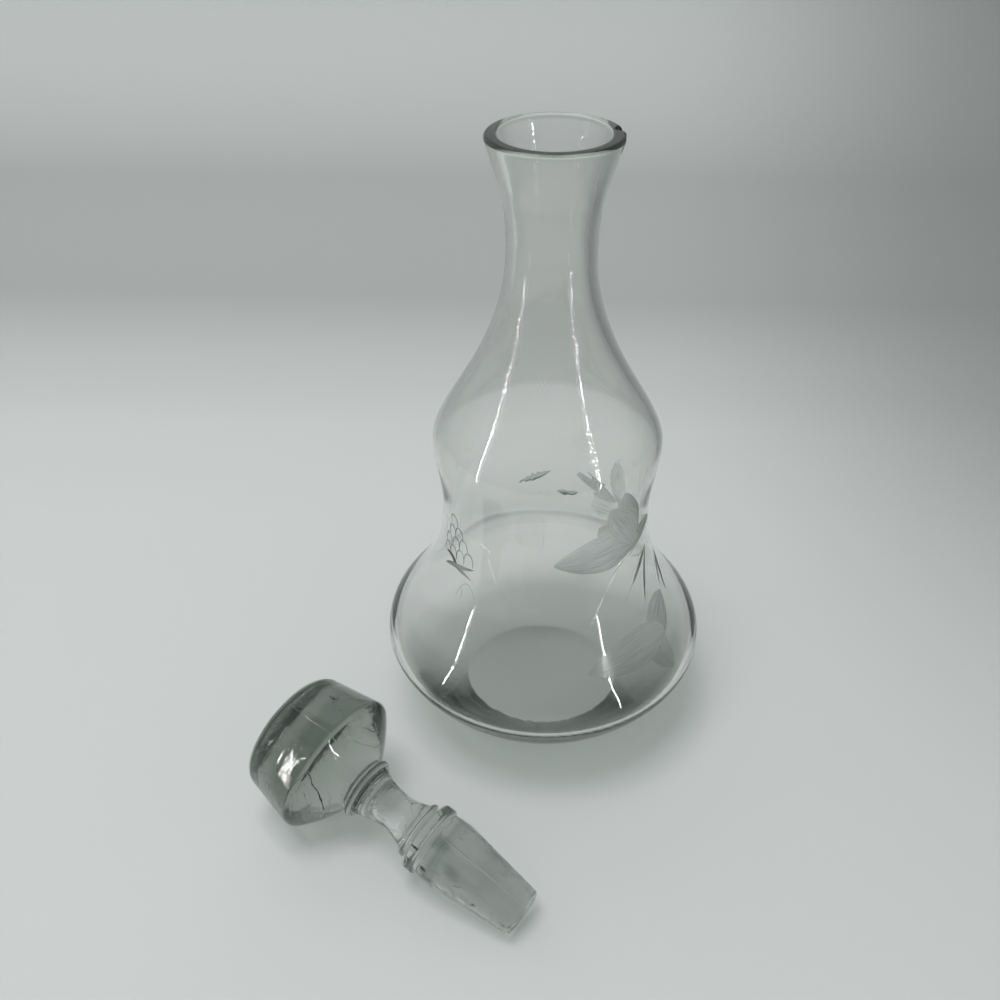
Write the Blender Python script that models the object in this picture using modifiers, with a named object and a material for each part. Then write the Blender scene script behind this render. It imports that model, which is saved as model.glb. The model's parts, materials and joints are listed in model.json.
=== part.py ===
"""Etched glass decanter: a blown double-bowl bottle, with its pressed stopper laid on the table beside it.

Metres, +Z up. The origin is the centre of the decanter's flat foot, and the bottle's axis is Z.
"""

import math

import bpy
from mathutils import Matrix, Vector

MM = 0.001

# Stopper plug: a short neck as pressed, then a length ground to a taper
PLUG_NECK_RADIUS = 12.7 * MM
PLUG_NECK_LENGTH = 8.0 * MM
PLUG_TOP_RADIUS = 13.2 * MM
PLUG_TIP_RADIUS = 9.2 * MM
GROUND_LENGTH = 33.5 * MM
PLUG_TIP_ROUND = 1.2 * MM
PLUG_NECK_shares = (0.45, 0.20)

# Stopper collar, the band that stops the plug, with a thin bead above it
COLLAR_OVERHANG = 1.1 * MM
COLLAR_LENGTH = 4.4 * MM
COLLAR_ROUND = 0.9 * MM
COVE_LENGTH = 2.6 * MM
COVE_DEPTH = 2.1 * MM
COLLAR_BEAD_RADIUS = 11.3 * MM
COLLAR_BEAD_LENGTH = 1.6 * MM

# Stopper stem, drawn in between the collar and the ring under the head
STEM_RADIUS = 7.5 * MM
STEM_LENGTH = 24.0 * MM
STEM_TOP_RADIUS = 10.6 * MM
STEM_WAIST_share = 0.46
STEM_HANDLE_share = 0.42

# Ring knop between stem and head
KNOP_RADIUS = 12.3 * MM
KNOP_LENGTH = 3.0 * MM
KNOP_GROOVE_RADIUS = 11.0 * MM
KNOP_GROOVE_LENGTH = 1.2 * MM

# Stopper head, a thick round of solid glass
UNDERSIDE_LENGTH = 13.8 * MM
UNDERSIDE_FULLNESS_share = 0.42
HEAD_RADIUS = 28.6 * MM
HEAD_SHOULDER_ROUND = 3.2 * MM
HEAD_SHOULDER_START = -48
HEAD_SIDE_LENGTH = 19.2 * MM
CROWN_RADIUS = 25.2 * MM
CROWN_EDGE_ROUND = 5.2 * MM
CROWN_RISE = 2.0 * MM

# Decanter neck: the bore is ground to the plug's taper
SEAT_CLEARANCE = 0.15 * MM
SEAT_DEPTH = 20.0 * MM
SEAT_LENGTH = 12.0 * MM
MOUTH_FLARE = 4.8 * MM
LIP_WALL = 4.8 * MM
LIP_ROUND = 1.3 * MM
NECK_RELIEF = 0.3 * MM
THROAT_WALL = 3.6 * MM

# Decanter radii of the outer wall
FOOT_RADIUS = 36.5 * MM
BOWL_RADIUS = 66.8 * MM
WAIST_RADIUS = 41.0 * MM
SHOULDER_RADIUS = 44.0 * MM

# Heights of the stretches between those radii, from the table up
BOWL_RISE = 40.5 * MM
WAIST_RISE = 66.5 * MM
SHOULDER_RISE = 29.0 * MM
THROAT_RISE = 75.5 * MM
LIP_RISE = 38.5 * MM

# Glass thickness, thin in the walls and thick in the base
SHOULDER_WALL = 2.4 * MM
WAIST_WALL = 2.4 * MM
BOWL_WALL = 2.6 * MM
FLOOR_THICKNESS = 5.6 * MM
FLOOR_RADIUS = 33.5 * MM

# How the wall's curves leave one radius and meet the next, as shares of the stretch between them
HEEL_OUT_share = 0.17
HEEL_LIFT_share = 0.18
HEEL_CLIMB_share = 0.24
BOWL_TO_WAIST_shares = (0.25, 0.70)
WAIST_TO_SHOULDER_shares = (0.40, 0.30)
SHOULDER_TO_THROAT_shares = (0.15, 0.50)
THROAT_TO_LIP_shares = (0.45, 0.40)
LIP_SPLAY = 16.5
MOUTH_share = 0.36

# The stopper's place on the table: its axis passes beside the bowl, tip towards the front
STOPPER_GAP = 10.0 * MM
STOPPER_SETBACK = 52.0 * MM
STOPPER_HEADING = -33.2

# Facets
BODY_STEPS = 48
STOPPER_STEPS = 36
CURVE_POINTS = 8
SHORT_CURVE_POINTS = 5
ROUND_POINTS = 4
MERGE_DISTANCE = 0.01 * MM

# Glass
GLASS_TINT = (0.90, 0.94, 0.91, 1.0)
STOPPER_TINT = (0.86, 0.90, 0.87, 1.0)
GLASS_ROUGHNESS = 0.02
GLASS_IOR = 1.52


def clear_scene():
    for old in list(bpy.data.objects):
        bpy.data.objects.remove(old, do_unlink=True)


def curve(start, start_handle, end_handle, end, points=CURVE_POINTS):
    """Points (radius, height) of a cubic curve from start up to end, without its first point."""
    found = []
    for step in range(1, points + 1):
        t = step / points
        u = 1.0 - t
        weights = (u * u * u, 3 * u * u * t, 3 * u * t * t, t * t * t)
        corners = (start, start_handle, end_handle, end)
        radius = sum(w * corner[0] for w, corner in zip(weights, corners))
        height = sum(w * corner[1] for w, corner in zip(weights, corners))
        found.append((radius, height))
    return found


def swell(start, end, shares, points=CURVE_POINTS):
    """A curve between two radii that is upright at both ends."""
    rise = end[1] - start[1]
    return curve(
        start,
        (start[0], start[1] + shares[0] * rise),
        (end[0], end[1] - shares[1] * rise),
        end,
        points,
    )


def rounding(centre, radius, first_degrees, last_degrees, points=ROUND_POINTS):
    """Points (radius, height) of an arc of the section, both ends included."""
    found = []
    for step in range(points + 1):
        angle = math.radians(first_degrees + (last_degrees - first_degrees) * step / points)
        found.append((centre[0] + radius * math.cos(angle), centre[1] + radius * math.sin(angle)))
    return found


def bead(radius, middle, length, root):
    """Half-round bead that stands out from the root radius, from its lower to its upper side."""
    found = []
    for step in range(2 * ROUND_POINTS + 1):
        angle = math.radians(-90 + 180 * step / (2 * ROUND_POINTS))
        found.append((root + (radius - root) * math.cos(angle), middle + length / 2 * math.sin(angle)))
    return found


def glass(name, tint):
    material = bpy.data.materials.new(name)
    material.use_nodes = True
    shader = material.node_tree.nodes["Principled BSDF"]
    shader.inputs["Base Color"].default_value = tint
    shader.inputs["Roughness"].default_value = GLASS_ROUGHNESS
    shader.inputs["Metallic"].default_value = 0.0
    shader.inputs["IOR"].default_value = GLASS_IOR
    shader.inputs["Transmission Weight"].default_value = 1.0
    material.diffuse_color = tint
    return material


def turned(name, section, steps, material, collection):
    """A solid turned about its own Z axis from a section that runs down its outer side."""
    mesh = bpy.data.meshes.new(name)
    corners = [(radius, 0.0, height) for radius, height in section]
    mesh.from_pydata(corners, [(i, i + 1) for i in range(len(corners) - 1)], [])
    piece = bpy.data.objects.new(name, mesh)
    collection.objects.link(piece)
    piece.data.materials.append(material)
    screw = piece.modifiers.new("Turn", "SCREW")
    screw.axis = "Z"
    screw.steps = steps
    screw.render_steps = steps
    screw.use_merge_vertices = True
    screw.merge_threshold = MERGE_DISTANCE
    screw.use_smooth_shade = True
    return piece


def plug_slope():
    """How much the plug's radius grows for each length up its ground stretch."""
    return (PLUG_TOP_RADIUS - PLUG_TIP_RADIUS) / GROUND_LENGTH


def plug_radius(depth):
    """The plug's radius at a depth below the top of its ground length."""
    return PLUG_TOP_RADIUS - plug_slope() * depth


def stopper_section():
    """The stopper's half section, tip to head top. Height zero is the collar's underside."""
    tip_height = -PLUG_NECK_LENGTH - GROUND_LENGTH
    tip = [(0.0, tip_height)]
    tip += rounding(
        (PLUG_TIP_RADIUS - PLUG_TIP_ROUND, tip_height + PLUG_TIP_ROUND), PLUG_TIP_ROUND, -90, 0
    )
    plug_top = (PLUG_TOP_RADIUS, -PLUG_NECK_LENGTH)
    plug_neck = swell(plug_top, (PLUG_NECK_RADIUS, 0.0), PLUG_NECK_shares, ROUND_POINTS)

    collar_radius = PLUG_NECK_RADIUS + COLLAR_OVERHANG
    collar_middle = collar_radius - COLLAR_ROUND
    collar = rounding((collar_middle, COLLAR_ROUND), COLLAR_ROUND, -90, 0)
    collar += rounding((collar_middle, COLLAR_LENGTH - COLLAR_ROUND), COLLAR_ROUND, 0, 90)

    cove_foot = (collar_middle - COLLAR_ROUND, COLLAR_LENGTH)
    bead_foot = COLLAR_LENGTH + COVE_LENGTH
    cove_root = COLLAR_BEAD_RADIUS - COVE_DEPTH / 2
    cove = curve(
        cove_foot,
        (cove_root, COLLAR_LENGTH),
        (cove_root, bead_foot),
        (cove_root, bead_foot),
        SHORT_CURVE_POINTS,
    )
    collar_bead = bead(
        COLLAR_BEAD_RADIUS, bead_foot + COLLAR_BEAD_LENGTH / 2, COLLAR_BEAD_LENGTH, cove_root
    )

    stem_foot = bead_foot + COLLAR_BEAD_LENGTH
    stem_waist = (STEM_RADIUS, stem_foot + STEM_WAIST_share * STEM_LENGTH)
    stem_top = (STEM_TOP_RADIUS, stem_foot + STEM_LENGTH)
    handle = STEM_HANDLE_share * STEM_LENGTH / 2
    stem = curve(
        (cove_root, stem_foot),
        ((cove_root + STEM_RADIUS) / 2, stem_foot + handle / 2),
        (STEM_RADIUS, stem_waist[1] - handle),
        stem_waist,
        SHORT_CURVE_POINTS,
    )
    stem += curve(
        stem_waist,
        (STEM_RADIUS, stem_waist[1] + handle),
        ((STEM_TOP_RADIUS + STEM_RADIUS) / 2, stem_top[1] - handle / 2),
        stem_top,
        SHORT_CURVE_POINTS,
    )

    knop = bead(KNOP_RADIUS, stem_top[1] + KNOP_LENGTH / 2, KNOP_LENGTH, STEM_TOP_RADIUS)
    groove_top = stem_top[1] + KNOP_LENGTH + KNOP_GROOVE_LENGTH
    underside_foot = (KNOP_GROOVE_RADIUS, groove_top)

    shoulder_centre = (HEAD_RADIUS - HEAD_SHOULDER_ROUND, groove_top + UNDERSIDE_LENGTH)
    side_lean = math.degrees(math.atan2(HEAD_RADIUS - CROWN_RADIUS, HEAD_SIDE_LENGTH))
    shoulder = rounding(shoulder_centre, HEAD_SHOULDER_ROUND, HEAD_SHOULDER_START, side_lean)
    underside = curve(
        underside_foot,
        (
            underside_foot[0] + UNDERSIDE_FULLNESS_share * (shoulder[0][0] - underside_foot[0]),
            underside_foot[1] + UNDERSIDE_FULLNESS_share / 2 * UNDERSIDE_LENGTH,
        ),
        (
            shoulder[0][0] - UNDERSIDE_FULLNESS_share / 2 * (shoulder[0][0] - underside_foot[0]),
            shoulder[0][1] - UNDERSIDE_FULLNESS_share / 2 * UNDERSIDE_LENGTH,
        ),
        shoulder[0],
        SHORT_CURVE_POINTS,
    )

    crown_centre = (CROWN_RADIUS - CROWN_EDGE_ROUND, shoulder_centre[1] + HEAD_SIDE_LENGTH)
    crown_lean = math.degrees(math.atan2(CROWN_RISE, crown_centre[0] / 2))
    crown_edge = rounding(crown_centre, CROWN_EDGE_ROUND, side_lean, 90 - crown_lean)
    edge_end = crown_edge[-1]
    crown_top = edge_end[1] + CROWN_RISE
    crown = curve(
        edge_end, (edge_end[0] / 2, crown_top), (edge_end[0] / 4, crown_top), (0.0, crown_top), ROUND_POINTS
    )

    section = tip + [plug_top] + plug_neck + collar + cove + collar_bead[1:] + stem + knop[1:]
    section += [underside_foot] + underside[:-1] + shoulder + crown_edge + crown
    return section


def body_section():
    """The decanter's half section: up the inside from the floor, over the lip and down the outside."""
    bowl = (BOWL_RADIUS, BOWL_RISE)
    waist = (WAIST_RADIUS, bowl[1] + WAIST_RISE)
    shoulder = (SHOULDER_RADIUS, waist[1] + SHOULDER_RISE)
    throat_height = shoulder[1] + THROAT_RISE
    lip_height = throat_height + LIP_RISE

    seat_top = (PLUG_TOP_RADIUS + SEAT_CLEARANCE, lip_height - SEAT_DEPTH)
    seat_foot = (plug_radius(SEAT_LENGTH) + SEAT_CLEARANCE, seat_top[1] - SEAT_LENGTH)
    inner_throat = (seat_foot[0] + NECK_RELIEF, throat_height)
    throat = (inner_throat[0] + THROAT_WALL, throat_height)
    mouth_radius = seat_top[0] + MOUTH_FLARE
    lip_radius = mouth_radius + LIP_WALL

    inner_bowl = (BOWL_RADIUS - BOWL_WALL, bowl[1])
    inner_waist = (WAIST_RADIUS - WAIST_WALL, waist[1])
    inner_shoulder = (SHOULDER_RADIUS - SHOULDER_WALL, shoulder[1] - SHOULDER_WALL / 2)
    floor_edge = (FLOOR_RADIUS, FLOOR_THICKNESS)

    inside = [(0.0, FLOOR_THICKNESS), floor_edge]
    inside += curve(
        floor_edge,
        (
            floor_edge[0] + HEEL_OUT_share * (inner_bowl[0] - floor_edge[0]),
            floor_edge[1] + HEEL_LIFT_share * (inner_bowl[1] - floor_edge[1]),
        ),
        (inner_bowl[0], inner_bowl[1] - HEEL_CLIMB_share * (inner_bowl[1] - floor_edge[1])),
        inner_bowl,
    )
    inside += swell(inner_bowl, inner_waist, BOWL_TO_WAIST_shares)
    inside += swell(inner_waist, inner_shoulder, WAIST_TO_SHOULDER_shares, SHORT_CURVE_POINTS)
    inside += swell(inner_shoulder, inner_throat, SHOULDER_TO_THROAT_shares)
    inside += [seat_foot, seat_top]

    lip_outer = (lip_radius - LIP_ROUND, lip_height - LIP_ROUND)
    lip_inner = (mouth_radius + LIP_ROUND, lip_height - LIP_ROUND)
    lip = rounding(lip_inner, LIP_ROUND, 180, 90) + rounding(lip_outer, LIP_ROUND, 90, 0)
    splay = math.tan(math.radians(LIP_SPLAY))
    mouth_handle = MOUTH_share * (SEAT_DEPTH - LIP_ROUND)
    mouth = curve(
        seat_top,
        (seat_top[0] + plug_slope() * mouth_handle, seat_top[1] + mouth_handle),
        (mouth_radius - splay * mouth_handle, lip[0][1] - mouth_handle),
        lip[0],
        SHORT_CURVE_POINTS,
    )

    foot_edge = (FOOT_RADIUS, 0.0)
    outside = [(0.0, 0.0), foot_edge]
    outside += curve(
        foot_edge,
        (foot_edge[0] + HEEL_OUT_share * (bowl[0] - foot_edge[0]), HEEL_LIFT_share * bowl[1]),
        (bowl[0], bowl[1] - HEEL_CLIMB_share * bowl[1]),
        bowl,
    )
    outside += swell(bowl, waist, BOWL_TO_WAIST_shares)
    outside += swell(waist, shoulder, WAIST_TO_SHOULDER_shares, SHORT_CURVE_POINTS)
    outside += swell(shoulder, throat, SHOULDER_TO_THROAT_shares)
    lip_foot = lip[-1]
    lip_stretch = lip_foot[1] - throat_height
    outside += curve(
        throat,
        (throat[0], throat_height + THROAT_TO_LIP_shares[0] * lip_stretch),
        (
            lip_foot[0] - splay * THROAT_TO_LIP_shares[1] * lip_stretch,
            lip_foot[1] - THROAT_TO_LIP_shares[1] * lip_stretch,
        ),
        lip_foot,
    )
    return inside + mouth + lip[1:-1] + outside[::-1]


def lying_line(section):
    """The tilt of the stopper's lowest side, and how far its axis origin stands off the table.

    Lying down, it touches the table where a straight edge laid along its section would touch it.
    """
    middle = sum(height for _, height in section) / len(section)
    for tip_radius, tip_height in section:
        for head_radius, head_height in section:
            if not tip_height < middle < head_height:
                continue
            slope = (head_radius - tip_radius) / (head_height - tip_height)
            base = tip_radius - slope * tip_height
            if all(radius <= base + slope * height + MERGE_DISTANCE for radius, height in section):
                return math.atan(slope), base * math.cos(math.atan(slope))
    raise ValueError("the stopper's section has no side to lie on")


def lay_stopper(piece, section):
    """Lays the stopper on the table beside the bowl, its tip towards the front."""
    tilt, stand_off = lying_line(section)
    heading = math.radians(STOPPER_HEADING)
    tipward = Vector((math.cos(heading), math.sin(heading), 0.0))
    outward = Vector((math.sin(heading), -math.cos(heading), 0.0))
    up = Vector((0.0, 0.0, 1.0))
    axis = -tipward * math.cos(tilt) + up * math.sin(tilt)
    down = -up * math.cos(tilt) - tipward * math.sin(tilt)
    side = axis.cross(down)
    head_top = max(height for _, height in section)
    beside = outward * (BOWL_RADIUS + HEAD_RADIUS + STOPPER_GAP)
    along = tipward * (head_top * math.cos(tilt) - STOPPER_SETBACK)
    place = beside + along + up * stand_off
    turn = Matrix((down, side, axis)).transposed().to_4x4()
    piece.matrix_world = Matrix.Translation(place) @ turn


def build():
    clear_scene()
    collection = bpy.data.collections.new("etched_glass_decanter")
    bpy.context.scene.collection.children.link(collection)
    turned("decanter_body", body_section(), BODY_STEPS, glass("decanter_glass", GLASS_TINT), collection)
    section = stopper_section()
    stopper = turned(
        "stopper", section[::-1], STOPPER_STEPS, glass("stopper_glass", STOPPER_TINT), collection
    )
    lay_stopper(stopper, section)


build()
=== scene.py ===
import json
import math

import bpy
import numpy as np
from mathutils import Matrix, Vector

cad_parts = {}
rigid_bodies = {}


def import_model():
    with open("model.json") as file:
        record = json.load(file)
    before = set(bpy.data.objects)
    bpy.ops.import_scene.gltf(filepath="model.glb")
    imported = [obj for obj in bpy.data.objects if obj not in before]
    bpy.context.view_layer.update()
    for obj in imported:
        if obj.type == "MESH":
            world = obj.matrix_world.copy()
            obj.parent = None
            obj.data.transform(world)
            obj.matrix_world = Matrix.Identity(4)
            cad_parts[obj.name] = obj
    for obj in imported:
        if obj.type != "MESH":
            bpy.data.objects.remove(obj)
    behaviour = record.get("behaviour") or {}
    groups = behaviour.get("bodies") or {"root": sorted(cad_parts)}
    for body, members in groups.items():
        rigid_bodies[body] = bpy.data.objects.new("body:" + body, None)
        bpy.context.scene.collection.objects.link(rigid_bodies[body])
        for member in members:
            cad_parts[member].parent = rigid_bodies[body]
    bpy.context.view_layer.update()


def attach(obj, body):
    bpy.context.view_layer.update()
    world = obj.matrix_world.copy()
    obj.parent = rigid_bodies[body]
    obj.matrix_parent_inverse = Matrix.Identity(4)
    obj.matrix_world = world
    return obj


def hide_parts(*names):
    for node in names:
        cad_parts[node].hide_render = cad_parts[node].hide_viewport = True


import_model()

MM = 0.001
scene = bpy.context.scene
scene.view_settings.view_transform = "Standard"
scene.cycles.caustics_reflective = False
scene.cycles.caustics_refractive = False
# Light crosses many walls of glass before it is lost.
LIGHT_BOUNCES = 24
scene.cycles.max_bounces = LIGHT_BOUNCES
scene.cycles.glossy_bounces = LIGHT_BOUNCES
scene.cycles.transmission_bounces = LIGHT_BOUNCES
scene.cycles.transparent_max_bounces = LIGHT_BOUNCES

# The camera: a hand-held one, just above the bottle's mouth and close in front of it, looking down
# at the table. Its place, turn and lens were found from the bottle's outline in the photograph.
CAMERA_PLACE = (0.0, -336.0 * MM, 353.9 * MM)
CAMERA_DOWN = 36.656
CAMERA_TURN = 3.121
CAMERA_LEAN = -0.423
LENS = 37.47
SENSOR = 36.0

bpy.ops.object.select_all(action="DESELECT")
bpy.ops.object.camera_add()
camera = bpy.context.object
camera.name = "camera"
camera.data.lens = LENS
camera.data.sensor_width = SENSOR
camera.matrix_world = (
    Matrix.Translation(CAMERA_PLACE)
    @ Matrix.Rotation(math.radians(CAMERA_TURN), 4, "Z")
    @ Matrix.Rotation(math.radians(90.0 - CAMERA_DOWN), 4, "X")
    @ Matrix.Rotation(math.radians(CAMERA_LEAN), 4, "Z")
)
scene.camera = camera

# The table and backdrop: one sheet of matt paper that lies flat and sweeps up behind the bottle.
# It is a pale cool grey with a faint grain. Painted shade darkens it up the back and to the right, and
# painted light brightens it again near the top.
PAPER_WIDTH = 2.8
PAPER_FRONT = 1.4
PAPER_BACK = 0.46
PAPER_HEIGHT = 1.1
SWEEP_RADIUS = 0.20
SWEEP_SEGMENTS = 32
PAPER_DROP = 0.2 * MM
PAPER_ROUGHNESS = 0.9
PAPER_GRAIN = 0.9 * MM
GRAIN_HEIGHT, GRAIN_STRENGTH = 0.05 * MM, 0.1
# A tone is how far back along the sheet it lies, in metres, and its colour. The tones hold painted shade up
# the back and painted light near the top.
PAPER_TONES_END = 0.70
PAPER_TONES_AND_PAINTED_LIGHT = (
    (0.12, "#c5c8c7"),
    (0.213, "#c2c5c4"),
    (0.30, "#b6b9b8"),
    (0.375, "#a4a7a6"),
    (0.51, "#abaead"),
    (0.652, "#dadddc"),
)
# Painted shade that darkens the back right of the sheet, and how much of it there is.
PAPER_PAINTED_SHADE, PAPER_PAINTED_SHADE_SHARE = "#7f8382", 0.70
SHADE_FROM_RIGHT, SHADE_TO_RIGHT = 0.05, 0.36
SHADE_FROM_BACK, SHADE_TO_BACK = -0.25, 0.25


def hex_colour(text):
    """A colour written as in a paint program, as linear red, green, blue and alpha."""
    channels = [int(text[place:place + 2], 16) / 255 for place in (1, 3, 5)]
    linear = [c / 12.92 if c <= 0.04045 else ((c + 0.055) / 1.055) ** 2.4 for c in channels]
    return (*linear, 1.0)


# The sockets for colours of a Mix node, which share their names with those for numbers.
MIX_A, MIX_B, MIXED = 6, 7, 2


def add_node(tree, kind, settings=None, links=None):
    """Adds a node with its settings, and links its sockets to what feeds them.

    A socket goes by its name or its number."""
    node = tree.nodes.new(kind)
    for name, value in (settings or {}).items():
        if isinstance(name, int) or name in node.inputs:
            node.inputs[name].default_value = value
        else:
            setattr(node, name, value)
    for name, source in (links or {}).items():
        tree.links.new(source, node.inputs[name])
    return node


def new_material(name):
    """A material with an empty node tree and its output."""
    material = bpy.data.materials.new(name)
    material.use_nodes = True
    tree = material.node_tree
    tree.nodes.clear()
    return material, tree, tree.nodes.new("ShaderNodeOutputMaterial")


bpy.ops.mesh.primitive_plane_add(size=1.0)
paper = bpy.context.object
paper.name = "paper_sweep"
bpy.ops.object.mode_set(mode="EDIT")
bpy.ops.transform.resize(value=(PAPER_WIDTH, PAPER_FRONT + PAPER_BACK, 1.0))
bpy.ops.transform.translate(value=(0.0, (PAPER_BACK - PAPER_FRONT) / 2, -PAPER_DROP))
bpy.ops.object.mode_set(mode="OBJECT")
for edge in paper.data.edges:
    edge.select = all(paper.data.vertices[end].co.y > 0 for end in edge.vertices)
for corner in paper.data.vertices:
    corner.select = corner.co.y > 0
paper.data.polygons[0].select = False
bpy.ops.object.mode_set(mode="EDIT")
bpy.ops.mesh.extrude_region_move(TRANSFORM_OT_translate={"value": (0.0, 0.0, PAPER_HEIGHT)})
bpy.ops.object.mode_set(mode="OBJECT")
for corner in paper.data.vertices:
    corner.select = corner.co.y > 0 and corner.co.z < PAPER_HEIGHT / 2
for edge in paper.data.edges:
    edge.select = all(paper.data.vertices[end].select for end in edge.vertices)
for face in paper.data.polygons:
    face.select = False
bpy.ops.object.mode_set(mode="EDIT")
bpy.ops.mesh.select_mode(type="EDGE")
bpy.ops.mesh.bevel(offset=SWEEP_RADIUS, segments=SWEEP_SEGMENTS, affect="EDGES")
bpy.ops.object.mode_set(mode="OBJECT")
bpy.ops.object.shade_smooth()

material, tree, output = new_material("matt_paper")
place = add_node(tree, "ShaderNodeTexCoord")
split = add_node(tree, "ShaderNodeSeparateXYZ", links={"Vector": place.outputs["Object"]})
away = add_node(
    tree, "ShaderNodeMath", {"operation": "ADD"}, {0: split.outputs["Y"], 1: split.outputs["Z"]}
)
rise = add_node(
    tree, "ShaderNodeMapRange", {"From Max": PAPER_TONES_END}, {"Value": away.outputs["Value"]}
)
# The paper's own grey, with painted shade up the back and painted light near the top.
tone = add_node(tree, "ShaderNodeValToRGB", links={"Fac": rise.outputs["Result"]})
for rung, (reach, colour) in enumerate(PAPER_TONES_AND_PAINTED_LIGHT):
    # A new ramp has two rungs.
    if rung > 1:
        tone.color_ramp.elements.new(1.0)
    tone.color_ramp.elements[rung].position = reach / PAPER_TONES_END
    tone.color_ramp.elements[rung].color = hex_colour(colour)
# Painted shade towards the back right of the sheet.
rightward = add_node(
    tree,
    "ShaderNodeMapRange",
    {
        "From Min": SHADE_FROM_RIGHT,
        "From Max": SHADE_TO_RIGHT,
        "To Max": PAPER_PAINTED_SHADE_SHARE,
        "interpolation_type": "SMOOTHSTEP",
    },
    {"Value": split.outputs["X"]},
)
backward = add_node(
    tree,
    "ShaderNodeMapRange",
    {"From Min": SHADE_FROM_BACK, "From Max": SHADE_TO_BACK, "interpolation_type": "SMOOTHSTEP"},
    {"Value": split.outputs["Y"]},
)
painted_corner_shade = add_node(
    tree,
    "ShaderNodeMath",
    {"operation": "MULTIPLY"},
    {0: rightward.outputs["Result"], 1: backward.outputs["Result"]},
)
shaded = add_node(
    tree,
    "ShaderNodeMix",
    {"data_type": "RGBA", MIX_B: hex_colour(PAPER_PAINTED_SHADE)},
    {"Factor": painted_corner_shade.outputs["Value"], MIX_A: tone.outputs["Color"]},
)
grain = add_node(
    tree,
    "ShaderNodeTexNoise",
    {"Scale": 1 / PAPER_GRAIN, "Detail": 4.0},
    {"Vector": place.outputs["Object"]},
)
bump = add_node(
    tree,
    "ShaderNodeBump",
    {"Strength": GRAIN_STRENGTH, "Distance": GRAIN_HEIGHT},
    {"Height": grain.outputs[0]},
)
shader = add_node(
    tree,
    "ShaderNodeBsdfPrincipled",
    {"Roughness": PAPER_ROUGHNESS, "Specular IOR Level": 0.0},
    {"Base Color": shaded.outputs[MIXED], "Normal": bump.outputs["Normal"]},
)
tree.links.new(shader.outputs["BSDF"], output.inputs["Surface"])
paper.data.materials.append(material)

# The walls of the light tent: a round of matt paper about the table, out of the camera's view, a
# little darker than the table's. The glass shows it near its edges.
TENT_RADIUS = 1.35
TENT_HEIGHT = 1.5
TENT_STEPS = 96
TENT_COLOUR = "#b0b3b2"

bpy.ops.object.select_all(action="DESELECT")
bpy.ops.mesh.primitive_cylinder_add(
    vertices=TENT_STEPS, radius=TENT_RADIUS, depth=TENT_HEIGHT, end_fill_type="NOTHING"
)
tent = bpy.context.object
tent.name = "tent_wall"
for corner in tent.data.vertices:
    corner.co.z += TENT_HEIGHT / 2
bpy.ops.object.shade_smooth()
material, tree, output = new_material("tent_paper")
shader = add_node(
    tree,
    "ShaderNodeBsdfPrincipled",
    {"Base Color": hex_colour(TENT_COLOUR), "Roughness": PAPER_ROUGHNESS, "Specular IOR Level": 0.0},
)
tree.links.new(shader.outputs["BSDF"], output.inputs["Surface"])
tent.data.materials.append(material)

# The light: one large soft lamp overhead, a little to the left and in front, and two tall narrow
# lamps that stand at either side, each a row of small bulbs. Only the glass shows the narrow ones.
LAMP_PLACE = (-0.27, -0.30, 1.90)
LAMP_AIM = (0.0, 0.0, 0.05)
LAMP_SIZE = 0.80
LAMP_POWER = 29.5
STRIP_DISTANCE = 0.60
STRIP_TURNS = (-64.0, 49.0)
STRIP_HEIGHT = 0.44
STRIP_WIDTH = 0.008
STRIP_POWER = 0.70
STRIP_BULBS = 34
BULB_EDGE, BULB_GLOW = 0.4, 1.8
SKY_COLOUR = "#e6eae9"
SKY_FROM, SKY_TO = 0.1, 0.9
SKY_LOW, SKY_HIGH = 0.04, 0.22


def lamp(name, place, aim, width, height, power):
    """An oblong lamp that faces the point it is aimed at."""
    bpy.ops.object.light_add(type="AREA", location=place)
    made = bpy.context.object
    made.name = name
    made.data.shape = "RECTANGLE"
    made.data.size = width
    made.data.size_y = height
    made.data.energy = power
    made.rotation_euler = (Vector(aim) - Vector(place)).to_track_quat("-Z", "Y").to_euler()
    made.visible_camera = False
    return made


overhead = lamp("overhead_lamp", LAMP_PLACE, LAMP_AIM, LAMP_SIZE, LAMP_SIZE, LAMP_POWER)
overhead.visible_glossy = False
overhead.visible_transmission = False
for side, turn in zip(("left", "right"), STRIP_TURNS):
    angle = math.radians(turn)
    middle = (STRIP_DISTANCE * math.sin(angle), -STRIP_DISTANCE * math.cos(angle), STRIP_HEIGHT / 2)
    axis = (0.0, 0.0, STRIP_HEIGHT / 2)
    strip = lamp(f"{side}_strip", middle, axis, STRIP_WIDTH, STRIP_HEIGHT, STRIP_POWER)
    strip.visible_diffuse = False
    strip.data.use_nodes = True
    tree = strip.data.node_tree
    spot = add_node(tree, "ShaderNodeNewGeometry")
    along = add_node(tree, "ShaderNodeSeparateXYZ", links={"Vector": spot.outputs["Parametric"]})
    count = add_node(
        tree,
        "ShaderNodeMath",
        {"operation": "MULTIPLY", 1: 2 * math.pi * STRIP_BULBS},
        {0: along.outputs["Y"]},
    )
    pulse = add_node(tree, "ShaderNodeMath", {"operation": "SINE"}, {0: count.outputs["Value"]})
    lit = add_node(
        tree,
        "ShaderNodeMapRange",
        {"From Max": BULB_EDGE, "To Max": BULB_GLOW},
        {"Value": pulse.outputs["Value"]},
    )
    tree.links.new(lit.outputs["Result"], tree.nodes["Emission"].inputs["Strength"])

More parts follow.
